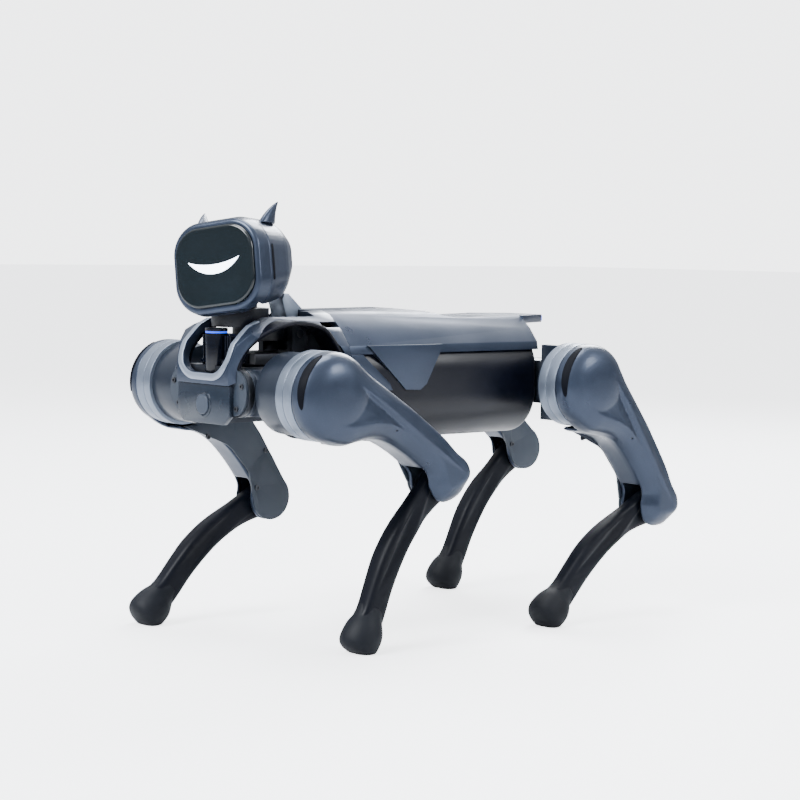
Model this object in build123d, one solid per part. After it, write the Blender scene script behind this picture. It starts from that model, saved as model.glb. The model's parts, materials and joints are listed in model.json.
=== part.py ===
from build123d import *
import os
from math import acos, cos, degrees, radians, sin

# Quadruped robot dog in a trotting stance, one STEP per piece, millimetres.
# +X is forward, +Y is the robot's left, +Z is up, and the floor is z = 0.

os.makedirs("parts", exist_ok=True)

# ---------------------------------------------------------------- driving dimensions
ORIGIN_X = 57.75         # shifts the model so that its box is centred on the origin

HIP_X = 205.0            # hip pitch axes, ahead of and behind the body's centre
HIP_Z = 300.0            # height of the hip pitch and hip roll axes
ROLL_Y = 50.0            # hip roll axes, either side of the centre plane
THIGH = 202.0            # hip axis to knee axis
SHIN = 208.0             # knee axis to foot centre
FOOT_R = 24.0
FOOT_Z = 22.0            # foot centre above the floor: the sole is cut flat
STANCE = {"fl": 59.5, "fr": 41.5, "rl": 38.5, "rr": 56.5}   # thigh angles from plumb

RUN = 0.3                # gap between faces that slide past each other
FIT = 0.05               # radial clearance of a shaft in its bore
WALL = 3.0               # moulded shells

# Distances from the centre plane, along a leg's pitch axis
DRUM_IN = 84.0           # inner end of the hip housing's drum
DRUM_OUT = 127.0
RING_OUT = 156.0         # outer face of the hip motor
THIGH_IN = 128.0         # open inner side of the thigh shell
THIGH_OUT = 177.0        # outer face of the thigh's link
BULB_OUT = 188.0         # outer face of the thigh's round upper end
DRUM_R = 48.0
RING_R = 52.0
KNEE_R = 29.0

# Knee drive: a crank on the knee motor and a rod to a lever pin on the calf
CRANK_R = 17.0
PIN_R = 4.0
EYE_R = 8.0
ROD_IN = 160.3
ROD_OUT = 167.3
AXLE_R = 7.0
KNEE_MOTOR_R = 34.0
CALF_IN = 138.0
CALF_OUT = 158.0
FOOT_Y = (CALF_IN + CALF_OUT) / 2 + 1
ANKLE = 178.0            # from the knee axis down to the top of the rubber boot
SLEEVE = 24.0            # length of the boot's flared top

# Body
BARREL_REAR = -195.0
BARREL_FRONT = 112.0
BARREL_W = 164.0
BARREL_LOW = 234.0
BARREL_TOP = 372.0
BARREL_CORNER = 55.0
HUB_R = 29.0             # hip housing around its roll axis
SHAFT_R = 10.0
MOTOR_R = 27.0
MOTOR_L = 46.0
CHEST_X = 260.0
CHEST_HALF = 52.0
BUTTON_R = 12.0
BUTTON_Z = 284.0
SENSOR_X = 248.0
GUARD_HALF = 15.0
PAYLOAD_X = -90.0        # payload holes in the back
PAYLOAD_DX = 80.0
PAYLOAD_DY = 40.0
PAYLOAD_HOLE_R = 2.1

# Outlines: the cover across (Y, Z), the body's top along (X, Z), the front arch (X, Z)
COVER_SECTION = [(-82, 342), (-80, 352), (-66, 369), (-42, 388), (-20, 395), (20, 395),
                 (42, 388), (66, 369), (80, 352), (82, 342)]
SKYLINE = [(-262, 300), (-262, 384), (-195, 384), (-85, 382), (-63, 386), (-43, 391),
           (0, 394.5), (112, 393), (140, 391.5), (184, 389), (214, 387), (240, 375),
           (260, 355), (268, 330), (268, 300)]
ARCH = [(120, 344), (131, 360), (148, 376), (176, 382.5), (204, 381), (234, 367),
        (253, 346), (260.5, 312)]

# Head
HEAD = (214.0, 0.0, 441.0)          # where the head's yaw and roll axes cross
HEAD_TURN = (21.8, -4.2, 8.1)       # yaw, pitch (nose down positive), roll
NECK_PIVOT = (150.0, 0.0, 366.0)
GLASS_W = 112.0
GLASS_H = 98.0


# ---------------------------------------------------------------- helpers
def prism_x(face, x0, x1):
    """Extrude a face drawn in Y, Z from x0 to x1."""
    return extrude(Plane.YZ.offset(x0) * face, amount=x1 - x0)


def prism_y(face, y0, y1):
    """Extrude a face drawn in X, Z from y0 to y1."""
    return extrude(Plane.XZ.offset(-y0) * face, amount=y0 - y1)


def prism_z(face, z0, z1):
    """Extrude a face drawn in X, Y from z0 to z1."""
    return extrude(Plane.XY.offset(z0) * face, amount=z1 - z0)


def bar_x(radius, x0, x1, y=0.0, z=0.0):
    return Pos((x0 + x1) / 2, y, z) * Rot(0, 90, 0) * Cylinder(radius, abs(x1 - x0))


def bar_y(radius, y0, y1, x=0.0, z=0.0):
    return Pos(x, (y0 + y1) / 2, z) * Rot(90, 0, 0) * Cylinder(radius, abs(y1 - y0))


def bar_z(radius, z0, z1, x=0.0, y=0.0):
    return Pos(x, y, (z0 + z1) / 2) * Cylinder(radius, abs(z1 - z0))


def block(x0, x1, y0, y1, z0, z1):
    return Pos((x0 + x1) / 2, (y0 + y1) / 2, (z0 + z1) / 2) * Box(x1 - x0, y1 - y0, z1 - z0)


def polygon(*points):
    return make_face(Polyline(*points, close=True))


def both_sides(solid):
    return solid + mirror(solid, about=Plane.XZ)


def screw_y(x, z, y, radius=3.2, depth=3.0, head=1.6):
    """A socket screw whose head stands on the plane y, pointing to -Y."""
    shank = bar_y(radius * 0.55, y, y + depth, x, z)
    cap = bar_y(radius, y - head, y, x, z)
    socket = bar_y(radius * 0.5, y - head, y - head * 0.3, x, z)
    return shank + cap - socket


def screw_x(y, z, x, radius=3.2, depth=2.8, head=2.0):
    """A socket screw whose head stands on the plane x, pointing to +X."""
    shank = bar_x(radius * 0.55, x - depth, x, y, z)
    cap = bar_x(radius, x, x + head, y, z)
    socket = bar_x(radius * 0.5, x + head * 0.3, x + head, y, z)
    return shank + cap - socket


def group(solids):
    """Separate solids kept in one node."""
    together = solids[0]
    for solid in solids[1:]:
        together = together + solid
    return together


def save(name, shape):
    export_step(Pos(ORIGIN_X, 0, 0) * shape, f"parts/{name}.step")


# ---------------------------------------------------------------- stance
def knee_angle(hip):
    """Knee angle that puts the foot on the floor for a thigh angle in degrees."""
    drop = HIP_Z - FOOT_Z - THIGH * cos(radians(hip))
    return -degrees(acos(drop / SHIN)) - hip


def leg_signs(leg):
    return (1 if leg[0] == "f" else -1), (1 if leg[1] == "l" else -1)


def to_hip(leg, solid):
    """Move a piece drawn for a left hip, at the hip axis, to its corner of the body."""
    front, left = leg_signs(leg)
    placed = solid if left > 0 else mirror(solid, about=Plane.XZ)
    return Pos(front * HIP_X, 0, HIP_Z) * placed


def to_thigh(leg, solid):
    """As to_hip, for a piece of the thigh drawn hanging plumb."""
    front, left = leg_signs(leg)
    placed = solid if left > 0 else mirror(solid, about=Plane.XZ)
    return Pos(front * HIP_X, 0, HIP_Z) * Rot(0, STANCE[leg], 0) * placed


def to_calf(leg, solid):
    """As to_thigh, for a piece of the calf drawn hanging plumb from the knee axis."""
    front, left = leg_signs(leg)
    placed = solid if left > 0 else mirror(solid, about=Plane.XZ)
    hip = STANCE[leg]
    knee = Rot(0, knee_angle(hip), 0) * placed
    return Pos(front * HIP_X, 0, HIP_Z) * Rot(0, hip, 0) * Pos(0, 0, -THIGH) * knee


# ---------------------------------------------------------------- hips
def front_hip_housing():
    """Hub on the roll axis, held at both ends, and the drum on the pitch axis."""
    hub = bar_x(HUB_R, -52, 44, ROLL_Y)
    shaft = bar_x(SHAFT_R, -60, 52, ROLL_Y)
    web = block(-38, 38, ROLL_Y, DRUM_IN + 4, -HUB_R + 2, HUB_R - 2)
    drum = bar_y(DRUM_R, DRUM_IN, DRUM_OUT)
    return hub + shaft + web + drum


def rear_hip_housing():
    """As in front, but carried at one end only, behind the barrel."""
    face = HIP_X + BARREL_REAR - 4
    hub = bar_x(HUB_R, -46, face, ROLL_Y)
    shaft = bar_x(SHAFT_R, face - 1, face + 12, ROLL_Y)
    web = block(-38, face, ROLL_Y, DRUM_IN + 4, -HUB_R + 2, HUB_R - 2)
    drum = bar_y(DRUM_R, DRUM_IN, DRUM_OUT)
    drum = drum - block(face, face + 60, 0, DRUM_OUT - 6, -60, 60)
    return hub + shaft + web + drum


def hip_motor():
    """Flat motor that turns the thigh, with its output shaft."""
    can = bar_y(RING_R, DRUM_OUT, RING_OUT)
    groove = bar_y(RING_R + 1, DRUM_OUT + 13, DRUM_OUT + 14)
    groove = groove - bar_y(RING_R - 0.8, DRUM_OUT + 12, DRUM_OUT + 15)
    shaft = bar_y(14, RING_OUT - 1, RING_OUT + RUN + WALL)
    return can - groove + shaft


# ---------------------------------------------------------------- thigh
def thigh_outline(inset=0.0):
    """Side shape of the link, hip axis at the origin, knee axis straight below."""
    hip_r = RING_R - inset
    knee_r = KNEE_R - inset
    corners = [(-hip_r, 0), (-42 + inset, -128), (-knee_r, -THIGH - 3),
               (0.69 * knee_r, -THIGH + 0.72 * knee_r), (4 - inset, -152),
               (4 - inset, -106), (0.83 * hip_r, -0.56 * hip_r)]
    rounding = [1, 60, 3, 3, 20, 40, 1]
    face = make_face(FilletPolyline(*corners, radius=rounding, close=True))
    return face + Circle(hip_r) + Pos(0, -THIGH) * Circle(knee_r)


def thigh_shell():
    """Moulded shell, open towards the body, with the knee axle standing in it."""
    link = prism_y(thigh_outline(), THIGH_IN, THIGH_OUT)
    bulb = bar_y(RING_R, RING_OUT + RUN, BULB_OUT)
    bulb = fillet(bulb.edges().sort_by(Axis.Y)[-1], 22)
    link_room = prism_y(thigh_outline(WALL), THIGH_IN - 1, THIGH_OUT - WALL)
    link_room = link_room - bar_y(RING_R + 4, THIGH_IN - 2, RING_OUT + RUN + WALL)
    bulb_room = bar_y(RING_R - 9, RING_OUT + RUN + WALL, THIGH_OUT - WALL)
    bulb_room = bulb_room + bar_y(KNEE_MOTOR_R + 1, THIGH_OUT - WALL - 1, BULB_OUT - WALL - 1)
    hip_room = bar_y(RING_R + 1, THIGH_IN - 1, RING_OUT + RUN)
    hip_room = hip_room + block(-70, 70, THIGH_IN - 1, RING_OUT + RUN, -38, 70)
    shaft_bore = bar_y(14 + FIT, RING_OUT, RING_OUT + 10)
    shell = link + bulb - link_room - bulb_room - hip_room - shaft_bore
    shell = shell - knee_slot()
    axle = bar_y(AXLE_R, THIGH_IN, THIGH_OUT - 1, 0, -THIGH)
    return shell + axle


def knee_slot():
    """Room in the thigh's front wall for the calf to swing in."""
    return block(-6, 44, CALF_IN - 4, CALF_OUT + 4, -THIGH - 44, -THIGH + 40)


def thigh_cover():
    """Flat cover on the thigh's inner side, with a bore for the knee axle's end."""
    plate = prism_y(thigh_outline(0.8), THIGH_IN - WALL, THIGH_IN)
    plate = plate - bar_y(RING_R + 2, THIGH_IN - 9, THIGH_IN + 9)
    plate = plate - block(-70, 70, THIGH_IN - 9, THIGH_IN + 9, -40, 70)
    return plate - group([bar_y(1.8, THIGH_IN - 9, THIGH_IN + 9, x, z)
                          for x, z in screw_places()])


def screw_places():
    return [(20, -74), (-36, -74), (-33, -150), (8, -176)]


def thigh_screws():
    return group([screw_y(x, z, THIGH_IN - WALL) for x, z in screw_places()])


def knee_motor():
    """Flat motor inside the thigh's round end that turns the knee's crank."""
    can = bar_y(KNEE_MOTOR_R, 174.4, BULB_OUT - WALL - 1)
    return can + bar_y(6, 167.0, 175.0)


def knee_crank():
    """Disc on the knee motor, with the pin that pushes the rod."""
    disc = bar_y(CRANK_R + EYE_R, ROD_OUT + 0.5, 174.0)
    bore = bar_y(6 + FIT, ROD_OUT, 175.0)
    pin = bar_y(PIN_R, ROD_IN, ROD_OUT + 1, -CRANK_R, 0)
    return disc - bore + pin


def knee_rod():
    """Rod from the crank pin to the lever pin, always parallel to the thigh."""
    bar = block(-CRANK_R - 3.5, -CRANK_R + 3.5, ROD_IN, ROD_OUT, -THIGH, 0)
    top_eye = bar_y(EYE_R, ROD_IN, ROD_OUT, -CRANK_R, 0)
    low_eye = bar_y(EYE_R, ROD_IN, ROD_OUT, -CRANK_R, -THIGH)
    crank_bore = bar_y(PIN_R + FIT, ROD_IN - 1, ROD_OUT + 1, -CRANK_R, 0)
    lever_bore = bar_y(PIN_R + RUN, ROD_IN - 1, ROD_OUT + 1, -CRANK_R, -THIGH)
    return bar + top_eye + low_eye - crank_bore - lever_bore


# ---------------------------------------------------------------- calf and foot
def calf_outline():
    """Side shape of the calf, knee axis at the origin, bowed forward."""
    front = [(20, -12), (22, -36), (28, -65), (31, -97), (29, -125), (23, -155), (17, -184)]
    back = [(-13, -178), (-5, -145), (-1, -115), (-1, -85), (-5, -55), (-12, -30), (-20, -12)]
    edge = [
        Spline(*front),
        Line(front[-1], back[0]),
        Spline(*back),
        ThreePointArc(back[-1], (0, 22), front[0]),
    ]
    return make_face(edge)


def calf(hip):
    """Hollow-free moulding with the knee bore, and the lever pin for the rod."""
    body = prism_y(calf_outline(), CALF_IN, CALF_OUT)
    lower = prism_y(calf_outline(), CALF_IN - 2, CALF_OUT + 4)
    lower = lower & block(-60, 60, 100, 200, -SHIN, -62)
    bore = bar_y(AXLE_R + FIT, CALF_IN - 9, CALF_OUT + 9)
    lever = Rot(0, -knee_angle(hip), 0) * lever_pin()
    below = block(-60, 60, 100, 200, -SHIN - 30, -ANKLE)
    return body + lower - bore - below + spigot(0) + lever


def lever_pin():
    """Pin on the knee end of the calf, across from the crank's pin."""
    pin = bar_y(PIN_R, CALF_OUT - 4, ROD_OUT, -CRANK_R, 0)
    boss = bar_y(PIN_R + 1.5, CALF_OUT - 14, ROD_IN - RUN, -CRANK_R, 0)
    return pin + boss


def spigot(grow):
    """Round end of the calf that the rubber boot is moulded on."""
    return bar_z(9 + grow, -SHIN + 6, -ANKLE + 1, 2, FOOT_Y)


def foot(hip):
    """Rubber boot, flared from the ankle and flat where it stands in this stance."""
    ball = Pos(0, FOOT_Y, -SHIN) * Sphere(FOOT_R)
    sleeve = Cone(bottom_radius=FOOT_R - 1.4, top_radius=15.5, height=SLEEVE)
    ball = ball + Pos(1, FOOT_Y, -ANKLE - SLEEVE / 2) * sleeve - spigot(0.02)
    lean = hip + knee_angle(hip)
    floor = Rot(0, -lean, 0) * block(-60, 60, -60, 60, -FOOT_Z - 20, -FOOT_Z)
    return ball - Pos(0, FOOT_Y, -SHIN) * floor


# ---------------------------------------------------------------- body
def barrel_section(grow=0.0):
    middle = (BARREL_LOW + BARREL_TOP) / 2
    size = RectangleRounded(BARREL_W + 2 * grow, BARREL_TOP - BARREL_LOW + 2 * grow,
                            BARREL_CORNER + grow)
    return Pos(0, middle) * size


def barrel_shell():
    outer = prism_x(barrel_section(), BARREL_REAR, BARREL_FRONT)
    rear_rim = outer.faces().sort_by(Axis.X)[0].edges()
    outer = fillet(rear_rim, 8)
    room = prism_x(barrel_section(-WALL), BARREL_REAR + WALL, BARREL_FRONT + 1)
    shaft_holes = both_sides(bar_x(SHAFT_R + 3, BARREL_REAR - 5, BARREL_REAR + 9,
                                   ROLL_Y, HIP_Z))
    return outer - room - shaft_holes


def cover_solid(x0, x1):
    section = polygon(*COVER_SECTION)
    return prism_x(section, x0, x1) & prism_y(polygon(*SKYLINE), -100, 100)


def top_cover():
    """Cover over the barrel, with a wing on each side and the tail lip."""
    main = cover_solid(BARREL_REAR, BARREL_FRONT - 0.2)
    room_section = polygon((-60, 366), (-38, 378), (38, 378), (60, 366), (60, 330), (-60, 330))
    room = prism_x(room_section, BARREL_REAR + WALL, BARREL_FRONT + 5)
    wing = polygon((86, 352), (36, 306), (27, 298), (4, 297), (-6, 304), (-25, 338), (-32, 352))
    wings = both_sides(prism_y(wing, 60, 84.5))
    lip_plan = polygon((-194, -54), (-194, 54), (-236, 36), (-250, 30), (-250, -30), (-236, -36))
    lip = prism_z(lip_plan, 374, 396) & prism_y(polygon(*SKYLINE), -100, 100)
    barrel = prism_x(barrel_section(), BARREL_REAR - 1, BARREL_FRONT + 40)
    payload = rect_holes(PAYLOAD_HOLE_R, 360, 400)
    return main + wings + lip - room - barrel - payload


def rect_holes(radius, z0, z1):
    return group([bar_z(radius, z0, z1, PAYLOAD_X + i * PAYLOAD_DX / 2, j * PAYLOAD_DY / 2)
                  for i in (-1, 1) for j in (-1, 1)])


def front_cowl():
    """Arched cowl over the front hips, open on top for the neck and the sensor."""
    profile = make_face([
        Spline(*ARCH),
        Line(ARCH[-1], (268, 308)),
        Line((268, 308), (268, 420)),
        Line((268, 420), (BARREL_FRONT, 420)),
        Line((BARREL_FRONT, 420), (BARREL_FRONT, 332)),
        Line((BARREL_FRONT, 332), ARCH[0]),
    ])
    band = prism_y(profile, -90, 90) & cover_solid_front()
    well = prism_x(Pos(0, 371) * RectangleRounded(88, 100, 26), 138, 290)
    guard_swing = block(118, 140, -GUARD_HALF - 0.8, GUARD_HALF + 0.8, 361, 400)
    band = band - well - guard_swing - block(100, 136, -60, 60, 300, 380)
    strip = polygon((112, 341.8), (95, 341.8), (52, 306), (48, 298), (70, 298), (112, 334))
    strips = both_sides(prism_y(strip, 60, 84.5))
    barrel = prism_x(barrel_section(), BARREL_REAR, BARREL_FRONT + 0.01)
    return band + (strips - barrel)


def cover_solid_front():
    """Outer shape of the cowl: the cover's section, narrowing towards the chest."""
    plan = polygon((111, -90), (185, -82), (213, -77), (242, -69), (256, -61), (268, -52),
                   (268, 52), (256, 61), (242, 69), (213, 77), (185, 82), (111, 90))
    skyline = prism_y(polygon(*SKYLINE), -100, 100)
    tall = [(-82, 300)] + COVER_SECTION + [(82, 300)]
    return prism_z(plan, 290, 420) & skyline & prism_x(polygon(*tall), 100, 290)


def chassis_frame():
    """Machined frame: tray, bulkheads for the roll motors, and the front spine."""
    tray = block(-186, 108, -40, 40, 240, 244)
    sides = both_sides(block(-186, 108, 36, 40, 240, 262))
    rear_plate = prism_x(barrel_section(-WALL - 6), -192 + MOTOR_L, -186 + MOTOR_L)
    front_plate = prism_x(barrel_section(-WALL - 6), 98, 104)
    nose = block(100, CHEST_X - 10, -18, 18, 262, 320)
    nose = nose + block(100, 221, -18, 18, 318, 331)
    shelf = block(100, 221, -40, 40, 331, 343)
    chest = prism_x(Pos(0, HIP_Z) * SlotOverall(2 * ROLL_Y + 2 * HUB_R, 2 * HUB_R),
                    CHEST_X - 10, CHEST_X - 3)
    lugs = both_sides(block(139.5, 162, 24, 34, 343, 376))
    frame = tray + sides + rear_plate + front_plate + nose + shelf + chest + lugs
    holes = both_sides(bar_x(SHAFT_R + FIT, 240, 270, ROLL_Y, HIP_Z))
    windows = both_sides(bar_x(MOTOR_R, -200, 140, ROLL_Y, HIP_Z))
    pivot = bar_y(5 + FIT, -40, 40, NECK_PIVOT[0], NECK_PIVOT[2])
    sensor_notch = bar_z(13.5, 321, 345, SENSOR_X, 0)
    return frame - holes - windows - pivot - sensor_notch


def roll_motors():
    """Four motors on the roll axes, each with a bore for its hip's shaft."""
    front = bar_x(MOTOR_R - 0.5, 104 - MOTOR_L, 151, ROLL_Y, HIP_Z)
    front = front - bar_x(SHAFT_R + FIT, 140, 155, ROLL_Y, HIP_Z)
    rear = bar_x(MOTOR_R - 0.5, -191, -191 + MOTOR_L + 8, ROLL_Y, HIP_Z)
    rear = rear - bar_x(SHAFT_R + FIT, -195, -180, ROLL_Y, HIP_Z)
    return both_sides(front) + both_sides(rear)


def bearing_caps():
    """Round caps that close the front roll bearings."""
    cap = bar_x(HUB_R - 2, CHEST_X - 3, CHEST_X, ROLL_Y, HIP_Z)
    bolts = [(ROLL_Y + 20 * cos(radians(a)), HIP_Z + 20 * sin(radians(a)))
             for a in (24, 114, 204, 294)]
    for y, z in bolts:
        cap = cap - bar_x(1.8, CHEST_X - 9, CHEST_X + 1, y, z)
    return both_sides(cap)


def chest_cover():
    """Panel between the front hips, with the power button's hole."""
    low = polygon((-CHEST_HALF, 330), (-CHEST_HALF, 272), (-40, 262), (40, 262),
                  (CHEST_HALF, 272), (CHEST_HALF, 330))
    panel = prism_x(low, CHEST_X, CHEST_X + 6)
    room = block(CHEST_X - 1, CHEST_X + 3, -40, 40, 270, 322)
    hole = bar_x(BUTTON_R + RUN, CHEST_X - 1, CHEST_X + 9, 0, BUTTON_Z)
    ring = bar_x(BUTTON_R + 4, CHEST_X + 1, CHEST_X + 7, 0, BUTTON_Z)
    cowl_room = prism_x(Rectangle(200, 200, align=(Align.CENTER, Align.MIN)), 200, 300)
    return panel - room + ring - hole - Pos(0, 0, 307.8) * cowl_room


def power_button():
    cap = bar_x(BUTTON_R, CHEST_X + 2.5, CHEST_X + 8.5, 0, BUTTON_Z)
    rim = cap.faces().sort_by(Axis.X)[-1].edges()
    cap = fillet(rim, 1.2)
    return cap


def sensor_housing():
    """Upright round sensor window in the cowl's notch, with cooling ribs."""
    column = bar_z(13, 322, 367, SENSOR_X, 0)
    back = block(222, 240, -30, 30, 334, 366)
    fins = [block(240, 248, y - 1.2, y + 1.2, 326, 364) for y in (-27, -22, -17, 17, 22, 27)]
    for fin in fins:
        back = back + fin
    foot_pad = block(222, 250, -30, 30, 332, 336)
    return column + back + foot_pad


def status_lights():
    """Lit cap of the front sensor and lit strip on the tail."""
    cap = bar_z(13, 367, 372.5, SENSOR_X, 0) - bar_z(9, 366, 369, SENSOR_X, 0)
    strip = block(-254, -250, -27, 27, 375.5, 382.5)
    return group([cap, strip])


def battery():
    return block(-128, -10, -34, 34, 250, 352)


def main_board():
    board = block(4, 92, -36, 36, 334, 336)
    chips = [block(x, x + w, y, y + d, 336, 336 + h)
             for x, w, y, d, h in ((14, 26, -20, 26, 6), (50, 16, -26, 16, 3),
                                   (50, 30, 4, 22, 5), (20, 18, 14, 12, 3))]
    for chip in chips:
        board = board + chip
    return board


def body_screws():
    """Screws of the front bearing caps."""
    places = [(ROLL_Y + 20 * cos(radians(a)), HIP_Z + 20 * sin(radians(a)))
              for a in (24, 294)]
    screws = []
    for y, z in places:
        for side in (-1, 1):
            screws.append(screw_x(side * y, z, CHEST_X))
    return group(screws)


# ---------------------------------------------------------------- neck and head
def neck_arm():
    """Arm that lifts the head, with its post; the pivot is in the cowl's well."""
    pivot = bar_y(5, -34, 34, NECK_PIVOT[0], NECK_PIVOT[2])
    boss = bar_y(11, -23.5, 23.5, NECK_PIVOT[0], NECK_PIVOT[2])
    arm = block(150, HEAD[0], -16, 16, 357, 376)
    collar = bar_z(34, 374, 396, HEAD[0], 0)
    post = bar_z(20, 390, 412, HEAD[0], 0)
    return pivot + boss + arm + collar + post - bar_z(8 + FIT, 400, 420, HEAD[0], 0)


def neck_guard():
    """Slanted cover behind the neck."""
    side = polygon((139.5, 372), (139.5, 393.5), (133, 394.5), (154, 413), (160, 413),
                   (163, 406), (153, 372))
    boss = bar_y(11, -20, 20, NECK_PIVOT[0], NECK_PIVOT[2])
    return prism_y(side, -GUARD_HALF, GUARD_HALF) - boss - block(150, 200, -20, 20, 350, 376)


def to_head(solid):
    yaw, pitch, roll = HEAD_TURN
    return Pos(*HEAD) * Rot(0, 0, yaw) * Rot(0, pitch, 0) * Rot(roll, 0, 0) * solid


def head_yoke():
    """Turns on the neck post and carries the head's roll axle."""
    yaw, pitch, roll = HEAD_TURN
    lean = Rot(0, 0, yaw) * Rot(0, pitch, 0)
    shaft = bar_z(8, 401, 415, HEAD[0], 0)
    table = bar_z(24, 412.3, 418, HEAD[0], 0)
    riser = block(-14, 14, -14, 14, -26, 4)
    axle = bar_x(7, -34, 40)
    return shaft + table + Pos(*HEAD) * lean * (riser + axle)


def head_sections(grow):
    """Rounded sections from the face back: x, width, height, middle height, corner."""
    rows = [(54, 116, 106, 0, 36), (34, 124, 114, 0, 42), (-14, 116, 104, 5, 40),
            (-52, 84, 58, 14, 22)]
    return [(x, w + 2 * grow, h + 2 * grow, z, r + grow) for x, w, h, z, r in rows]


def head_loft(rows):
    faces = [Plane.YZ.offset(x) * (Pos(0, z) * RectangleRounded(w, h, r))
             for x, w, h, z, r in rows]
    return loft(faces, ruled=True)


def head_shell():
    """Rear shell, open below for the neck, with the rear roll bearing."""
    rows = head_sections(0)[1:]
    inner = head_sections(-WALL)[1:]
    inner[0] = (35,) + inner[0][1:]
    inner[-1] = (-49,) + inner[-1][1:]
    shell = head_loft(rows) - head_loft(inner)
    opening = block(-46, 35, -46, 46, -70, -34)
    rear = block(-34, -28, -30, 30, -22, 22) & head_loft(rows)
    post = block(-53, -28, -9, 9, -9, 9)
    bore = bar_x(7 + FIT, -40, -20)
    return shell - opening + rear + post - bore + ears()


def face_bezel():
    """Front frame around the face glass, with the front roll bearing behind it."""
    rows = head_sections(0)[:2]
    ring = head_loft(rows)
    front = fillet(ring.faces().sort_by(Axis.X)[-1].edges(), 5)
    glass_room = prism_x(RectangleRounded(GLASS_W - 6, GLASS_H - 4, 32), 46, 70)
    hollow = prism_x(RectangleRounded(104, 94, 30), 33, 42)
    bore = bar_x(7 + FIT, 30, 44)
    opening = block(30, 40, -46, 46, -70, -34)
    return front - glass_room - hollow - opening + front_bearing() - bore


def front_bearing():
    return bar_x(12, 34, 46)


def face_glass():
    """Dark bowed window that fills the bezel."""
    pane = prism_x(RectangleRounded(GLASS_W - 6.4, GLASS_H - 4.4, 31.8), 46, 58)
    rim = pane.faces().sort_by(Axis.X)[-1].edges()
    return fillet(rim, 3)


def face_light():
    """Lit crescent, a thin inlay on the glass."""
    crescent = make_face([
        ThreePointArc((-35, 8), (0, -9), (35, 8)),
        ThreePointArc((35, 8), (0, 2), (-35, 8)),
    ])
    return prism_x(crescent, 58, 58.4)


def ears():
    """Two small pointed ears on the head's upper corners."""
    base = Plane((6, 42, 50), x_dir=(1, 0, 0), z_dir=(0, 0.35, 1)) * Rectangle(26, 9)
    tip = Plane((-2, 52, 76), x_dir=(1, 0, 0), z_dir=(0, 0.35, 1)) * Rectangle(3, 2)
    ear = loft([base, tip])
    return both_sides(ear - head_loft(head_sections(0)[1:]))


# ---------------------------------------------------------------- build
LEGS = ("fl", "fr", "rl", "rr")

for leg in LEGS:
    lean = STANCE[leg]
    hip = front_hip_housing() if leg[0] == "f" else rear_hip_housing()
    save(f"hip_housing_{leg}", to_hip(leg, hip))
    save(f"hip_motor_{leg}", to_hip(leg, hip_motor()))
    save(f"thigh_shell_{leg}", to_thigh(leg, thigh_shell()))
    save(f"thigh_cover_{leg}", to_thigh(leg, thigh_cover()))
    save(f"thigh_screws_{leg}", to_thigh(leg, thigh_screws()))
    save(f"knee_motor_{leg}", to_thigh(leg, knee_motor()))
    save(f"knee_crank_{leg}", to_thigh(leg, knee_crank()))
    save(f"knee_rod_{leg}", to_thigh(leg, knee_rod()))
    save(f"calf_{leg}", to_calf(leg, calf(lean)))
    save(f"foot_{leg}", to_calf(leg, foot(lean)))

BODY_PIECES = {
    "chassis_frame": chassis_frame,
    "barrel_shell": barrel_shell,
    "top_cover": top_cover,
    "front_cowl": front_cowl,
    "chest_cover": chest_cover,
    "power_button": power_button,
    "bearing_caps": bearing_caps,
    "body_screws": body_screws,
    "roll_motors": roll_motors,
    "battery": battery,
    "main_board": main_board,
    "sensor_housing": sensor_housing,
    "status_lights": status_lights,
    "neck_arm": neck_arm,
    "neck_guard": neck_guard,
    "head_yoke": head_yoke,
}
for name, make in BODY_PIECES.items():
    save(name, make())

HEAD_PIECES = {
    "head_shell": head_shell,
    "face_bezel": face_bezel,
    "face_glass": face_glass,
    "face_light": face_light,
}
for name, make in HEAD_PIECES.items():
    save(name, to_head(make()))
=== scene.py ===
import bmesh
import bpy
import json
import math
from mathutils import Matrix, Vector


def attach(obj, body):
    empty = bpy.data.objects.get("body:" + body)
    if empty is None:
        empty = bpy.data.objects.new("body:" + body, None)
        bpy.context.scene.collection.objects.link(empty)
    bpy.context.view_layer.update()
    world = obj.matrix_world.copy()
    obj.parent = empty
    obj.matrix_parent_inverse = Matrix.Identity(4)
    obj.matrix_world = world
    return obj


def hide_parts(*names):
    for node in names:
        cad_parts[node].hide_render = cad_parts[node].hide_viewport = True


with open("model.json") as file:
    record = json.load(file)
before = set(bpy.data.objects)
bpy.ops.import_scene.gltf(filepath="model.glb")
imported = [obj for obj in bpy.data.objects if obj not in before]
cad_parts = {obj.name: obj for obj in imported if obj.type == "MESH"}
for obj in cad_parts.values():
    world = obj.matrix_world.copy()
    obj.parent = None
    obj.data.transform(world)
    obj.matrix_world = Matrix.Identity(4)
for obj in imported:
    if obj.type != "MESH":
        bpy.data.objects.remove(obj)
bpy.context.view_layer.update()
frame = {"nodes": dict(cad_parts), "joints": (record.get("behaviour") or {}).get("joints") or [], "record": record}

# A quadruped robot dog. Lengths below are in millimetres and MM turns them into metres.
MM = 0.001
RECORD = frame["record"]
JOINTS = {j["name"]: j for j in frame["joints"]}
MOUNTS = {m["name"]: m for m in RECORD["mounts"]}
LEGS = ("fl", "fr", "rl", "rr")
SLOT_OF = {s["node"]: s["material_slot"] for s in RECORD["subparts"]}
BODY_OF = {n: body for body, members in RECORD["behaviour"]["bodies"].items() for n in members}

# ---------------------------------------------------------------- dimensions
# Along the body, before the record's origin is applied
HIP_X = 205.0
OFFSET_X = JOINTS["hip_pitch_fl"]["pos_m"][0] / MM - HIP_X
SENSOR_X = 248.0
SENSOR_R = 13.4
SENSOR_TOP = 372.9

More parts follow.
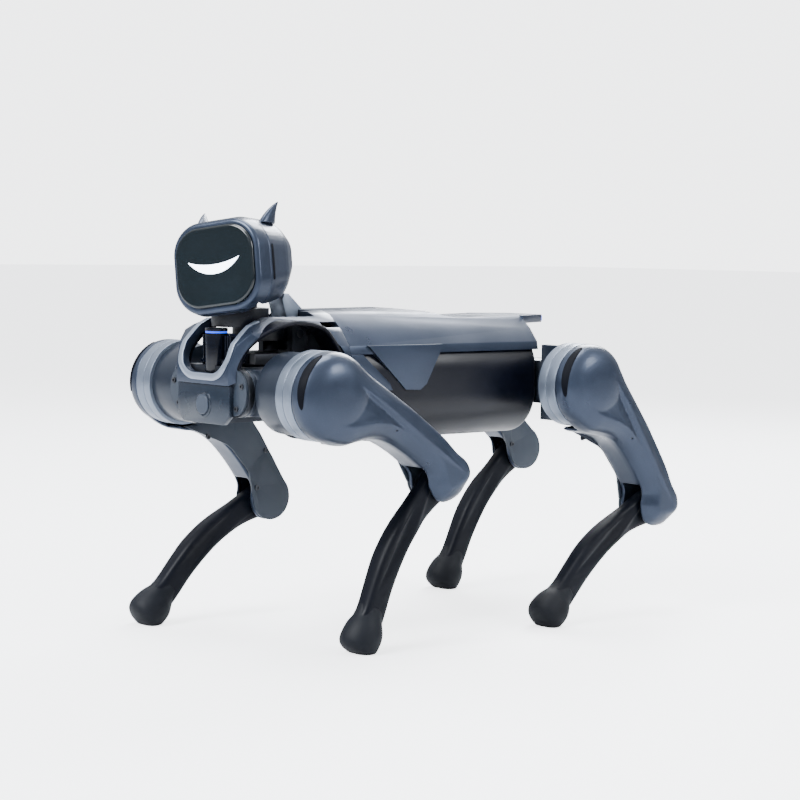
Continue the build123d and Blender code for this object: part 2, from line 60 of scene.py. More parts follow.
# Leg, drawn plumb with the hip at the origin; Y is across the body
THIGH = 202.0
FOOT_Z = 22.0
CRANK_R = 17.0
KNEE_TURN = math.radians(93.3)     # how far the knee is bent in this stance
RING_R = 52.0
DOME_START = 160.0                 # Y where the round end starts to curve in
DOME_TOP = 188.2                   # Y of its middle
DOME_POWER = 2.68                  # 2 is an ellipse, more is squarer
DOME_WALL = 4.5
SHOULDER = 6.5                     # how far the link's face rises towards the round end
SLOT_HALF = 4.6                    # half width of the dark strip of painted shade that stands for the slot on the round end
THIGH_VOXEL = 1.35
CALF_VOXEL = 1.3
CALF_MIDDLE = 148.0
BOOT_MIDDLE = 149.0
FLOOR_GAP = 0.0002                 # metres between a sole and the floor

# Front arch (X, Z), half the body's width along it (X, Y), and the lining under it
ARCH = [(120, 344), (131, 360), (148, 376), (176, 382.5), (204, 381), (234, 367), (253, 346), (260.5, 314)]
ARCH_HALF = [(112, 79), (185, 79.5), (213, 75), (242, 67), (256, 59.5), (264, 53)]
LINING = 5.0
LINING_IN = 46.0

# Notch for the sensor in the cowl's front, and the frame round it
NOTCH_HALF = 44.0
NOTCH_BOTTOM = 321.0
NOTCH_CORNER = 26.0
RIM_WIDTH = 8.5
RIM_THICK = 1.3
FRONT_LINE = [(300, 268), (330, 268), (342, 264.4), (355, 260), (375, 240), (383, 223)]     # (Z, X)

# Stage
FLOOR_SIZE = 30.0                  # metres
FLOOR_GLOW = 0.12                  # the light that the floor gives off
FLOOR_SEEN = 2.6                   # how bright it looks
SKY_WHITE = (0.965, 0.98, 1.0)
SKY_LOW = (0.16, 0.18, 0.22)
SKY_SEEN = 4.2
SKY_LIGHT = 1.5
LIGHT_TINT = (0.96, 0.98, 1.0)
LIGHT_AIM = Vector((0.05, 0, 0.28))
LIGHTS = (("key", (2.7, 0.1, 2.4), 1.4, 230.0), ("side", (-1.4, 2.6, 1.9), 1.1, 70.0),
          ("back", (-2.2, -1.4, 2.2), 1.4, 180.0), ("above", (0.0, -0.2, 2.8), 1.5, 120.0))

# ---------------------------------------------------------------- camera
CAMERA_AZIMUTH = 0.8774      # radians from +X towards +Y
CAMERA_RISE = 0.06663        # radians above the horizon
CAMERA_ROLL = 0.01338
CAMERA_DISTANCE = 2.6752     # metres
CAMERA_TARGET = Vector((0.05775, 0.0, 0.2985))
CAMERA_LENS = 96.57          # mm on a 36 mm sensor
CAMERA_SHIFT = (0.0266, -0.0196)


def make_camera():
    """The camera at the photograph's angle."""
    data = bpy.data.cameras.new("camera")
    data.sensor_width = 36.0
    data.lens = CAMERA_LENS
    data.shift_x, data.shift_y = CAMERA_SHIFT
    camera = bpy.data.objects.new("camera", data)
    bpy.context.scene.collection.objects.link(camera)
    flat = math.cos(CAMERA_RISE)
    away = Vector((flat * math.cos(CAMERA_AZIMUTH), flat * math.sin(CAMERA_AZIMUTH),
                   math.sin(CAMERA_RISE)))
    right = (-away).cross(Vector((0, 0, 1))).normalized()
    up = right.cross(-away)
    c, s = math.cos(CAMERA_ROLL), math.sin(CAMERA_ROLL)
    turned = Matrix((c * right + s * up, c * up - s * right, away)).transposed().to_4x4()
    camera.matrix_world = Matrix.Translation(CAMERA_TARGET + CAMERA_DISTANCE * away) @ turned
    bpy.context.scene.camera = camera


# ---------------------------------------------------------------- materials
class Nodes:
    """Short ways to add and link shader nodes."""

    def __init__(self, name):
        self.material = bpy.data.materials.new(name)
        self.material.use_nodes = True
        self.tree = self.material.node_tree
        self.shader = self.tree.nodes["Principled BSDF"]
        self.coordinates = self.add("ShaderNodeTexCoord").outputs["Object"]

    def add(self, kind, **values):
        node = self.tree.nodes.new(kind)
        for key, value in values.items():
            setattr(node, key, value)
        return node

    def link(self, a, b):
        self.tree.links.new(a, b)

    def stretched(self, scale):
        mapping = self.add("ShaderNodeMapping")
        mapping.inputs["Scale"].default_value = scale
        self.link(self.coordinates, mapping.inputs["Vector"])
        return mapping.outputs["Vector"]

    def noise(self, scale, detail=3.0, stretch=None):
        node = self.add("ShaderNodeTexNoise")
        node.inputs["Scale"].default_value = scale
        node.inputs["Detail"].default_value = detail
        self.link(self.stretched(stretch) if stretch else self.coordinates, node.inputs["Vector"])
        return node.outputs["Fac"]

    def band(self, value, low, high, to_low=0.0, to_high=1.0):
        node = self.add("ShaderNodeMapRange")
        node.inputs["From Min"].default_value = low
        node.inputs["From Max"].default_value = high
        node.inputs["To Min"].default_value = to_low
        node.inputs["To Max"].default_value = to_high
        self.link(value, node.inputs["Value"])
        return node.outputs["Result"]

    def mix(self, fac, a, b):
        node = self.add("ShaderNodeMix", data_type="RGBA")
        self.link(fac, node.inputs["Factor"])
        for socket, colour in ((node.inputs[6], a), (node.inputs[7], b)):
            if isinstance(colour, tuple):
                socket.default_value = (*colour, 1.0)
            else:
                self.link(colour, socket)
        return node.outputs[2]

    def bump(self, height, distance, strength=1.0, after=None):
        node = self.add("ShaderNodeBump")
        node.inputs["Distance"].default_value = distance
        node.inputs["Strength"].default_value = strength
        self.link(height, node.inputs["Height"])
        if after is not None:
            self.link(after, node.inputs["Normal"])
        return node.outputs["Normal"]


def shade(colour, factor):
    return tuple(min(1.0, c * factor) for c in colour)


def surface(name, colour, metallic=0.0, rough=0.4, coat=0.0, grain=900.0, depth=0.02, swing=0.16,
            rough_swing=0.08, wear=0.35, worn=None, lines=None, flakes=0.0, specular=0.5):
    """A finish with broad tone changes, a fine grain in the relief, and edges rubbed lighter."""
    n = Nodes(name)
    broad = n.noise(9.0, 4.0)
    tone = n.mix(n.band(broad, 0.3, 0.7), shade(colour, 1 - swing), shade(colour, 1 + swing))
    fine = n.noise(grain, 2.0)
    if flakes:
        sparkle = n.band(n.noise(1500.0, 1.0), 0.62, 0.74, 0.0, flakes)
        tone = n.mix(sparkle, tone, shade(colour, 2.2))
    if wear:
        geometry = n.add("ShaderNodeNewGeometry")
        edge = n.band(geometry.outputs["Pointiness"], 0.60, 0.78, 0.0, wear)
        tone = n.mix(edge, tone, worn or shade(colour, 2.0))
    n.link(tone, n.shader.inputs["Base Color"])
    smudge = n.noise(34.0, 5.0)
    n.link(n.band(smudge, 0.3, 0.75, rough - rough_swing, rough + rough_swing),
           n.shader.inputs["Roughness"])
    n.shader.inputs["Metallic"].default_value = metallic
    n.shader.inputs["Coat Weight"].default_value = coat
    n.shader.inputs["Specular IOR Level"].default_value = specular
    n.shader.inputs["Coat Roughness"].default_value = 0.08
    relief = n.bump(fine, depth * MM, 0.6)
    if lines:
        turned = n.noise(1.0, 2.0, stretch=lines)
        relief = n.bump(turned, depth * MM, 0.8, after=relief)
    n.link(relief, n.shader.inputs["Normal"])
    return n.material


def glowing(name, colour, light, strength):
    """A lit diffuser with a soft cloudiness."""
    n = Nodes(name)
    soft = n.band(n.noise(60.0, 2.0), 0.3, 0.7, 0.85, 1.15)
    n.shader.inputs["Base Color"].default_value = (*colour, 1.0)
    n.shader.inputs["Roughness"].default_value = 0.25
    lit = n.mix(soft, shade(light, 0.9), light)
    n.link(lit, n.shader.inputs["Emission Color"])
    n.shader.inputs["Emission Strength"].default_value = strength
    n.link(n.bump(n.noise(500.0), 0.02 * MM, 0.4), n.shader.inputs["Normal"])
    return n.material


TURNED = (8.0, 2600.0, 8.0)          # tool marks round an axis along Y
TURNED_Z = (8.0, 8.0, 2200.0)        # and round an upright axis

FINISH = {
    "shell_blue": surface("shell_blue", (0.024, 0.034, 0.058), 0.62, 0.35, 0.08, flakes=0.25, swing=0.10,
                          wear=0.0, grain=700.0, depth=0.012),
    "motor_ring": surface("motor_ring", (0.16, 0.19, 0.245), 0.70, 0.36, 0.0, lines=TURNED, swing=0.07,
                          worn=(0.6, 0.62, 0.66), depth=0.012),
    "hip_grey": surface("hip_grey", (0.015, 0.021, 0.034), 0.55, 0.36, 0.1, lines=TURNED, swing=0.12,
                        worn=(0.2, 0.22, 0.26), depth=0.012),
    "cover_dark": surface("cover_dark", (0.016, 0.024, 0.038), 0.2, 0.46, grain=2200.0, depth=0.05,
                          worn=(0.10, 0.11, 0.13)),
    "screw_steel": surface("screw_steel", (0.055, 0.058, 0.066), 0.9, 0.38, lines=TURNED,
                           worn=(0.3, 0.3, 0.32)),
    "motor_dark": surface("motor_dark", (0.018, 0.020, 0.026), 0.8, 0.4, lines=TURNED,
                          worn=(0.2, 0.2, 0.22)),
    "steel": surface("steel", (0.36, 0.37, 0.39), 0.95, 0.28, lines=TURNED, worn=(0.6, 0.6, 0.62)),
    "aluminium": surface("aluminium", (0.022, 0.025, 0.032), 0.8, 0.40, lines=(400.0, 30.0, 900.0),
                         worn=(0.4, 0.4, 0.42)),
    "calf_navy": surface("calf_navy", (0.0012, 0.0021, 0.0052), 0.0, 0.46, specular=0.13, grain=1500.0,
                         depth=0.03, swing=0.25, wear=0.0),
    "foot_rubber": surface("foot_rubber", (0.0022, 0.0034, 0.0064), 0.0, 0.62, specular=0.2, grain=1100.0,
                           depth=0.12, swing=0.3, wear=0.0),
    "barrel_gloss": surface("barrel_gloss", (0.0010, 0.0016, 0.0058), 0.0, 0.34, 0.0, specular=0.28,
                            grain=300.0, depth=0.01, rough_swing=0.04, worn=(0.03, 0.035, 0.05), wear=0.25),
    "chest_grey": surface("chest_grey", (0.014, 0.021, 0.034), 0.45, 0.24, 0.2, swing=0.1, flakes=0.15,
                          worn=(0.35, 0.38, 0.44), depth=0.01),
    "button_plastic": surface("button_plastic", (0.026, 0.036, 0.056), 0.3, 0.34, 0.1, depth=0.02,
                              worn=(0.2, 0.22, 0.26)),
    "battery_wrap": surface("battery_wrap", (0.012, 0.013, 0.016), 0.0, 0.5, grain=500.0, depth=0.05),
    "board_green": surface("board_green", (0.008, 0.05, 0.025), 0.0, 0.35, 0.4, grain=260.0, depth=0.1,
                           swing=0.4, worn=(0.2, 0.17, 0.07)),
    "sensor_gloss": surface("sensor_gloss", (0.0012, 0.0020, 0.0050), 0.0, 0.16, specular=0.35, depth=0.006,
                            rough_swing=0.04, worn=(0.03, 0.035, 0.05), lines=TURNED_Z),
    "neck_black": surface("neck_black", (0.0022, 0.0032, 0.0068), 0.0, 0.34, 0.0, specular=0.25, depth=0.012,
                          worn=(0.05, 0.055, 0.07)),
    "guard_light": surface("guard_light", (0.20, 0.235, 0.30), 0.5, 0.36, 0.2, swing=0.08, depth=0.012,
                           worn=(0.5, 0.53, 0.6)),
    "face_glass": surface("face_glass", (0.0026, 0.0060, 0.0082), 0.0, 0.16, 0.0, specular=0.5, depth=0.003,
                          swing=0.3, rough_swing=0.03, wear=0.0, grain=120.0),
    # slot_black is near black and barely reflects: painted shade for slots, laid on flat strips where no slot is
    # cut.
    "slot_black": surface("slot_black", (0.0012, 0.0018, 0.0042), 0.0, 0.58, specular=0.06, grain=900.0,
                          depth=0.01, swing=0.2, wear=0.0),
    "face_light": glowing("face_light", (0.8, 0.85, 0.95), (0.78, 0.86, 1.0), 7.0),
    "light_blue": glowing("light_blue", (0.02, 0.06, 0.4), (0.004, 0.07, 1.0), 1.5),
}


def floor_finish():
    """A pale floor that is seen bright but throws little light back up."""
    material = surface("floor_pale", (0.62, 0.63, 0.65), 0.0, 0.6, grain=40.0, depth=0.02, swing=0.008,
                       rough_swing=0.04, wear=0.0, specular=0.2)
    tree = material.node_tree
    shader = tree.nodes["Principled BSDF"]
    seen = tree.nodes.new("ShaderNodeLightPath")
    strength = tree.nodes.new("ShaderNodeMapRange")
    strength.inputs["To Min"].default_value = FLOOR_GLOW
    strength.inputs["To Max"].default_value = FLOOR_SEEN
    tree.links.new(seen.outputs["Is Camera Ray"], strength.inputs["Value"])
    tree.links.new(strength.outputs["Result"], shader.inputs["Emission Strength"])
    shader.inputs["Emission Color"].default_value = (0.97, 0.98, 1.0, 1.0)
    return material



# ---------------------------------------------------------------- mesh helpers
def mesh_object(name, bm):
    """An object from a bmesh, with its faces turned outwards."""
    bmesh.ops.recalc_face_normals(bm, faces=bm.faces)
    mesh = bpy.data.meshes.new(name)
    bm.to_mesh(mesh)
    bm.free()
    obj = bpy.data.objects.new(name, mesh)
    bpy.context.scene.collection.objects.link(obj)
    return obj


def dress(obj, finish, body, node=None, angle=35.0):
    """Give a piece its finish, smooth shading up to an angle and its body, and hide the node that it replaces."""
    obj.data.materials.clear()
    obj.data.materials.append(FINISH[finish])
    obj.data.shade_smooth()
    if angle:
        obj.data.set_sharp_from_angle(angle=math.radians(angle))
    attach(obj, body)
    if node:
        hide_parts(node)
    return obj


def settled(obj, name):
    """A new object with obj's modifiers applied; obj is removed."""
    depsgraph = bpy.context.evaluated_depsgraph_get()
    mesh = bpy.data.meshes.new_from_object(obj.evaluated_get(depsgraph))
    result = bpy.data.objects.new(name, mesh)
    bpy.context.scene.collection.objects.link(result)
    bpy.data.objects.remove(obj)
    return result


def cut(obj, cutters, operation="DIFFERENCE"):
    """Boolean steps, one at a time; the cutters are removed."""
    for cutter in cutters:
        step = obj.modifiers.new("cut", "BOOLEAN")
        step.operation = operation
        step.solver = "EXACT"
        step.object = cutter
        obj = settled(obj, "cut")
        bpy.data.objects.remove(cutter)
    return obj


def melted(obj, voxel, passes, name):
    """Remesh into even quads and relax them, so that every edge is softly rounded."""
    step = obj.modifiers.new("voxels", "REMESH")
    step.mode = "VOXEL"
    step.voxel_size = voxel * MM
    relax = obj.modifiers.new("relax", "SMOOTH")
    relax.factor = 0.5
    relax.iterations = passes
    return settled(obj, name)


def skin(rings, closed=True):
    """A mesh through rings of points, all with the same count, capped at both ends."""
    bm = bmesh.new()
    rows = [[bm.verts.new(p) for p in ring] for ring in rings]
    count = len(rows[0])
    for a, b in zip(rows, rows[1:]):
        for i in range(count):
            bm.faces.new((a[i], a[(i + 1) % count], b[(i + 1) % count], b[i]))
    if closed:
        bm.faces.new(rows[0])
        bm.faces.new(rows[-1])
    return bm


def lathe_y(profile, steps=96):
    """Surface of revolution round the Y axis through (radius, y) points; radius 0 closes it."""
    bm = bmesh.new()
    rows = []
    for radius, y in profile:
        if radius < 1e-6:
            rows.append([bm.verts.new((0, y * MM, 0))])
        else:
            turns = [2 * math.pi * i / steps for i in range(steps)]
            rows.append([bm.verts.new((radius * MM * math.cos(t), y * MM, radius * MM * math.sin(t)))
                         for t in turns])
    pairs = list(zip(rows, rows[1:] + ([] if len(rows[-1]) == 1 else [rows[0]])))
    for a, b in pairs:
        for i in range(steps):
            corners = [a[i % len(a)], a[(i + 1) % len(a)], b[(i + 1) % len(b)], b[i % len(b)]]
            unique = list(dict.fromkeys(corners))
            if len(unique) > 2:
                bm.faces.new(unique)
    return bm


def between(p0, p1, p2, p3, t):
    """Point on a smooth curve from p1 to p2; p0 and p3 are the points on either side."""
    return 0.5 * ((2 * p1) + (p2 - p0) * t + (2 * p0 - 5 * p1 + 4 * p2 - p3) * t * t
                  + (3 * p1 - p0 - 3 * p2 + p3) * t ** 3)


def smooth_loop(points, count):
    """An even closed curve through the points."""
    fine = []
    total = len(points)
    for i in range(total):
        p0, p1, p2, p3 = (Vector(points[(i + k) % total]) for k in (-1, 0, 1, 2))
        fine += [between(p0, p1, p2, p3, j / 12) for j in range(12)]
    lengths = [0.0]
    for a, b in zip(fine, fine[1:] + fine[:1]):
        lengths.append(lengths[-1] + (b - a).length)
    even = []
    k = 0
    for i in range(count):
        goal = lengths[-1] * i / count
        while lengths[k + 1] < goal:
            k += 1
        span = lengths[k + 1] - lengths[k]
        even.append(fine[k].lerp(fine[(k + 1) % len(fine)], (goal - lengths[k]) / span))
    return even


def inward(loop):
    """Unit vectors that point into a closed curve drawn anticlockwise."""
    total = len(loop)
    result = []
    for i in range(total):
        along = (loop[(i + 1) % total] - loop[i - 1]).normalized()
        result.append(Vector((-along.y, along.x)))
    return result


def box_mesh(x0, x1, y0, y1, z0, z1):
    """A box for cutting, in millimetres."""
    bm = bmesh.new()
    bmesh.ops.create_cube(bm, size=1.0)
    for v in bm.verts:
        v.co = Vector((x0 if v.co.x < 0 else x1, y0 if v.co.y < 0 else y1,
                       z0 if v.co.z < 0 else z1)) * MM
    return mesh_object("cutter", bm)


def smoothstep(a, b, x):
    """0 at a, 1 at b, level at both ends; a may be above b."""
    t = min(1.0, max(0.0, (x - a) / (b - a)))
    return t * t * (3 - 2 * t)


# ---------------------------------------------------------------- leg frames
def leg_frame(leg):
    """Matrices that place a left leg's thigh and calf, drawn plumb from their axes, in the stance."""
    hip = Vector(JOINTS["hip_pitch_" + leg]["pos_m"])
    knee = Vector(JOINTS["knee_" + leg]["pos_m"])
    sole = Vector(MOUNTS["sole_" + leg]["pos_m"])
    sole.z = FOOT_Z * MM
    mirror = Matrix.Diagonal((1, 1 if leg[1] == "l" else -1, 1, 1))
    places = []
    for top, low in ((hip, knee), (knee, sole)):
        lean = math.atan2(top.x - low.x, top.z - low.z)
        turn = Matrix.Rotation(lean, 4, "Y")
        places.append(Matrix.Translation((top.x, 0, top.z)) @ turn @ mirror)
    return places


def placed(source, matrix, name, floor=None):
    """A copy of a mesh moved by a matrix, with its faces turned outwards again."""
    bm = bmesh.new()
    bm.from_mesh(source.data)
    bm.transform(matrix)
    if floor is not None:
        for v in bm.verts:
            v.co.z = max(v.co.z, floor)
    return mesh_object(name, bm)


# ---------------------------------------------------------------- thigh
THIGH_LOOP = [(-50, 12), (-50.5, -12), (-48, -33), (-45, -80), (-42, -126), (-38, -165), (-32.5, -192),
              (-30, -213), (-18.5, -228), (0, -232.5), (15, -226), (27, -213), (29, -199), (22, -184),
              (10, -172), (6, -150), (5, -118), (8, -92), (16, -73), (29, -56), (42, -40), (50, -16),
              (50, 12), (36, 36), (12, 50), (-12, 50), (-36, 36)]


def thigh_rings(levels, loop, normals):
    """Rings at (y, inset of the back edge, of the front edge, and all round the hip)."""
    rings = []
    for y, back, front, hip in levels:
        ring = []
        for p, n in zip(loop, normals):
            share = smoothstep(-22, 8, p.x - 0.04 * (p.y + 100))
            near = smoothstep(-112, -24, p.y)
            q = p + n * ((back + (front - back) * share) * (1 - near) + hip * near)
            rise = SHOULDER * smoothstep(-125, -38, q.y) * (1 - smoothstep(-12, 26, q.y))
            ring.append(Vector((q.x, y + rise * smoothstep(160, 176, y), q.y)) * MM)
        rings.append(ring)
    return rings


def dome(outer, top, start, power, steps=14):
    """(radius, y) down a rounded cap from the rim at start to the middle at top."""
    rows = []
    for i in range(steps + 1):
        t = i / steps * math.pi / 2
        rows.append((outer * max(0.0, math.cos(t)) ** (2 / power),
                     start + (top - start) * math.sin(t) ** (2 / power)))
    rows[-1] = (0.0, top)
    return rows


def make_thigh():
    """The hollow thigh shell: a link, its round hip end, and the slot for the knee."""
    loop = smooth_loop(THIGH_LOOP, 150)
    normals = inward(loop)
    outside = [(128, 1.2, 1.2, 1.2), (129.2, 0, 0, 0), (158, 0, 0, 0), (164, 0, 0.8, 0.6),
               (170, 0.4, 5.5, 3.4), (173, 1.0, 8.6, 7.0), (175, 1.8, 11.5, 11.2), (177, 3.2, 14.4, 15.8),
               (178.4, 5.2, 17.0, 20.0), (179.4, 8.6, 19.5, 23.5)]
    inside = [(126, 2.6, 3.4, 3.4), (167, 2.6, 4.5, 4.5), (174.4, 6, 14, 16)]
    link = mesh_object("link", skin(thigh_rings(outside, loop, normals)))
    room = mesh_object("room", skin(thigh_rings(inside, loop, normals)))
    hip_room = mesh_object("hip_room", lathe_y([(0, 120), (RING_R + 1.2, 120), (RING_R + 1.2, 156.3),
                                                (0, 156.3)]))
    top_room = box_mesh(-70, 70, 120, 156.3, -38, 70)
    knee_slot = box_mesh(-7, 60, 134.2, 162.2, -THIGH - 44, -THIGH + 40)
    bulb = mesh_object("bulb", lathe_y([(0, 156.3), (RING_R - 0.6, 156.3), (RING_R, 157)]
                                       + dome(RING_R, DOME_TOP, DOME_START, DOME_POWER)))
    bulb_room = mesh_object("bulb_room", lathe_y([(0, 159.5)] + dome(RING_R - DOME_WALL, 184.6, 159.6, 2.5)))
    bore = mesh_object("bore", lathe_y([(0, 150), (14.6, 150), (14.6, 163), (0, 163)]))
    shell = cut(link, [hip_room, top_room])
    shell = cut(shell, [bulb], "UNION")
    shell = cut(shell, [room, bulb_room, bore, knee_slot])
    return melted(shell, THIGH_VOXEL, 5, "thigh_master")


def make_lever_pin():
    """Pin that the knee rod pushes, on the knee end of the calf."""
    outline = [(0, 150), (5.5, 150), (5.5, 159.6), (4, 160), (4, 166.6), (0, 167)]
    pin = mesh_object("pin_master", lathe_y(outline, 40))
    pin.data.transform(Matrix.Rotation(KNEE_TURN, 4, "Y") @ Matrix.Translation((-CRANK_R * MM, 0, 0)))
    return pin


def make_axle():
    """Steel knee axle with chamfered ends, in the thigh's place."""
    outline = [(0, 127.4), (6.2, 127.4), (7, 128.2), (7, 174.2), (0, 174.2)]
    axle = mesh_object("axle_master", lathe_y(outline))
    axle.data.transform(Matrix.Translation((0, 0, -THIGH * MM)))
    return axle


# ---------------------------------------------------------------- calf and foot
CALF_LOOP = [(-20, -8), (-18.5, -18), (-11, -36), (-4.5, -58), (-0.5, -86), (-1, -116), (-5, -146),
             (-12, -176), (-15, -196), (-12, -206), (2, -210), (16, -206), (20, -196), (20.5, -182),
             (26, -155), (31.5, -125), (32.5, -96), (29.5, -66), (25, -38), (21.5, -14), (18, 10), (8, 20),
             (-8, 20), (-18, 8)]


def make_calf():
    """The curved calf with its knee bore, knee at the origin and the shin plumb."""
    loop = smooth_loop(CALF_LOOP, 140)
    normals = inward(loop)
    rings = []
    for across, inset in ((-1, 7), (-0.95, 4.2), (-0.82, 2.0), (-0.6, 0.6), (-0.3, 0), (0.3, 0), (0.6, 0.6),
                          (0.82, 2.0), (0.95, 4.2), (1, 7)):
        ring = []
        for p, n in zip(loop, normals):
            q = p + n * inset
            half = 10 + 3.2 * smoothstep(-46, -80, q.y) - 1.5 * smoothstep(-120, -175, q.y)
            y = CALF_MIDDLE + 0.8 * smoothstep(-46, -80, q.y) + across * half
            ring.append(Vector((q.x, y, q.y)) * MM)
        rings.append(ring)
    body = mesh_object("calf_body", skin(rings))
    bore = mesh_object("bore", lathe_y([(0, 120), (7.3, 120), (7.3, 180), (0, 180)]))
    body = cut(body, [bore])
    return melted(body, CALF_VOXEL, 4, "calf_master")


# Sections of the foot: down the shin, forward shift, half length, half width
BOOT = [(176, 4.2, 15.6, 11.6), (177, 4.2, 17.2, 12.8), (182, 3.6, 17.6, 13.4), (188, 2.4, 18.4, 15.0),
        (194, 1.0, 20.4, 18.6), (200, 0.4, 22.8, 21.8), (207, 0.0, 24.2, 23.4), (216, 0.0, 24.6, 23.8),
        (224, 0.0, 23.6, 23.0), (229, 0.0, 20.6, 20.4), (232, 0.0, 15.4, 15.4), (233.4, 0.0, 7.0, 7.0)]


def make_boot():
    """The rubber foot, through its sections as ellipses."""
    rings = []
    for s, shift, length, width in BOOT:
        turns = [2 * math.pi * i / 48 for i in range(48)]
        rings.append([Vector((shift + length * math.cos(t), BOOT_MIDDLE + width * math.sin(t), -s)) * MM
                      for t in turns])
    boot = mesh_object("boot", skin(rings))
    step = boot.modifiers.new("smooth", "SUBSURF")
    step.levels = step.render_levels = 2
    return settled(boot, "boot_master")


def slot_shade_strip(leg, place):
    """A dark curved strip of painted shade for the slot on the shoulder of the thigh's round end; it lies on the
    surface, and no slot is cut.
    """
    profile = dome(RING_R + 0.2, DOME_TOP + 0.2, DOME_START, DOME_POWER, 60)
    lean = math.atan2(-place.col[0].z, place.col[0].x)
    bm = bmesh.new()
    rows = []
    steps = 36
    for i in range(steps + 1):
        t = i / steps
        turn = math.radians(-14 + 84 * t)
        half = SLOT_HALF * math.sin(math.pi * t) ** 0.45
        row = []
        for v in (-1, -0.5, 0, 0.5, 1):
            y = 170.5 - 3.5 * (t - 0.5) + v * half
            radius = next(r0 + (r1 - r0) * (y - y0) / (y1 - y0)
                          for (r0, y0), (r1, y1) in zip(profile, profile[1:]) if y0 <= y <= y1)
            row.append(bm.verts.new((radius * MM * math.cos(turn), y * MM, radius * MM * math.sin(turn))))
        rows.append(row)
    for a, b in zip(rows, rows[1:]):
        for j in range(4):
            bm.faces.new((a[j], a[j + 1], b[j + 1], b[j]))
    bmesh.ops.remove_doubles(bm, verts=bm.verts, dist=0.02 * MM)
    bm.transform(place @ Matrix.Rotation(-lean, 4, "Y"))
    strip = mesh_object("thigh_slot_shade_" + leg, bm)
    step = strip.modifiers.new("thick", "SOLIDIFY")
    step.thickness = 1.0 * MM
    step.offset = 0.0
    return settled(strip, "thigh_slot_shade_" + leg)


def make_legs():
    """One master of each piece, placed on all four legs and mirrored for the right."""
    thigh = make_thigh()
    calf = make_calf()
    boot = make_boot()
    axle = make_axle()
    pin = make_lever_pin()
    for leg in LEGS:
        upper, lower = leg_frame(leg)
        thigh_body, calf_body = "thigh_" + leg, "calf_" + leg
        dress(placed(thigh, upper, "thigh_form_" + leg), "shell_blue", thigh_body, "thigh_shell_" + leg, 0)
        dress(placed(calf, lower, "calf_form_" + leg), "calf_navy", calf_body, "calf_" + leg, 0)
        dress(placed(boot, lower, "boot_" + leg, FLOOR_GAP), "foot_rubber", calf_body, "foot_" + leg, 0)
        # A flat near-black strip on the round end: painted shade for its slot.
        dress(slot_shade_strip(leg, upper), "slot_black", thigh_body)
        dress(placed(axle, upper, "knee_axle_" + leg), "steel", thigh_body)
        dress(placed(pin, lower, "lever_pin_" + leg), "steel", calf_body)
    for master in (thigh, calf, boot, axle, pin):
        bpy.data.objects.remove(master)


# ---------------------------------------------------------------- head
HEAD_ROLL = math.radians(8.1)
# From the face back: x, width, height, height of the middle, corner radius
HEAD_ROWS = [(34, 119, 109, 0, 40), (34, 122, 112, 0, 41), (32, 124, 114, 0, 42), (24, 123.6, 113.4, 0.4, 42),
             (-6, 119, 107.5, 3.8, 41), (-13, 116.8, 104.6, 4.9, 40), (-20, 111.4, 97.2, 6.4, 37),
             (-44, 90.6, 67, 12.6, 26), (-50, 84, 59.6, 13.8, 23), (-54, 76, 51.6, 14, 20),
             (-56, 64, 40, 14, 16)]


def head_place():
    """Matrix from the head's own axes to its place, from the head's roll joint."""
    axis = JOINTS["head_roll"]["axis"]
    yaw = math.atan2(axis[1], axis[0])
    pitch = -math.asin(axis[2] / Vector(axis).length)
    return (Matrix.Translation(JOINTS["head_roll"]["pos_m"]) @ Matrix.Rotation(yaw, 4, "Z")
            @ Matrix.Rotation(pitch, 4, "Y") @ Matrix.Rotation(HEAD_ROLL, 4, "X"))


def rounded_ring(x, width, height, middle, corner, arc=12):
    """Points of a rounded rectangle across the head, at x."""
    ring = []
    for quarter in range(4):
        cy = (width / 2 - corner) * (1 if quarter in (0, 3) else -1)
        cz = (height / 2 - corner) * (1 if quarter in (0, 1) else -1)
        for i in range(arc + 1):
            t = math.pi / 2 * (quarter + i / arc)
            ring.append(Vector((x, cy + corner * math.cos(t), middle + cz + corner * math.sin(t))) * MM)
    return ring


def make_head():
    """The head's rear shell, with its ears and the dark strips of painted shade for its side slots."""
    place = head_place()
    head = mesh_object("head", skin([rounded_ring(*row) for row in HEAD_ROWS]))
    neck_room = box_mesh(-44, 40, -45, 45, -80, -20)
    head = melted(cut(head, [neck_room]), 1.2, 3, "head_shell_form")
    head.data.transform(place)
    dress(head, "shell_blue", "head", "head_shell", 0)
    for side, tag in ((1, "l"), (-1, "r")):
        ear = make_ear(side)
        ear.data.transform(place)
        ear.name = "ear_" + tag
        dress(ear, "shell_blue", "head", None, 0)
        # A near-black sheet on each side of the head: painted shade for a slot.
        slot = make_head_slot_shade(side)
        slot.data.transform(place)
        slot.name = "head_slot_shade_" + tag
        dress(slot, "slot_black", "head")


def make_ear(side):
    """A small horn that curves back to a point."""
    base, bend, tip = Vector((6, 43.5, 48)), Vector((2, 47, 64)), Vector((-11, 51, 75))
    rings = []
    steps = 16
    for i in range(steps + 1):
        t = i / steps
        middle = base * (1 - t) ** 2 + bend * 2 * t * (1 - t) + tip * t * t
        length = 15.5 * (1 - t) ** 0.85 + 0.5
        width = 6.4 * (1 - t) ** 0.8 + 0.5
        ring = []
        for k in range(28):
            a = 2 * math.pi * k / 28
            ring.append(Vector((middle.x + length * math.cos(a), side * (middle.y + width * math.sin(a)),
                                middle.z)) * MM)
        rings.append(ring)
    ear = mesh_object("ear", skin(rings))
    step = ear.modifiers.new("smooth", "SUBSURF")
    step.levels = step.render_levels = 1
    return settled(ear, "ear")


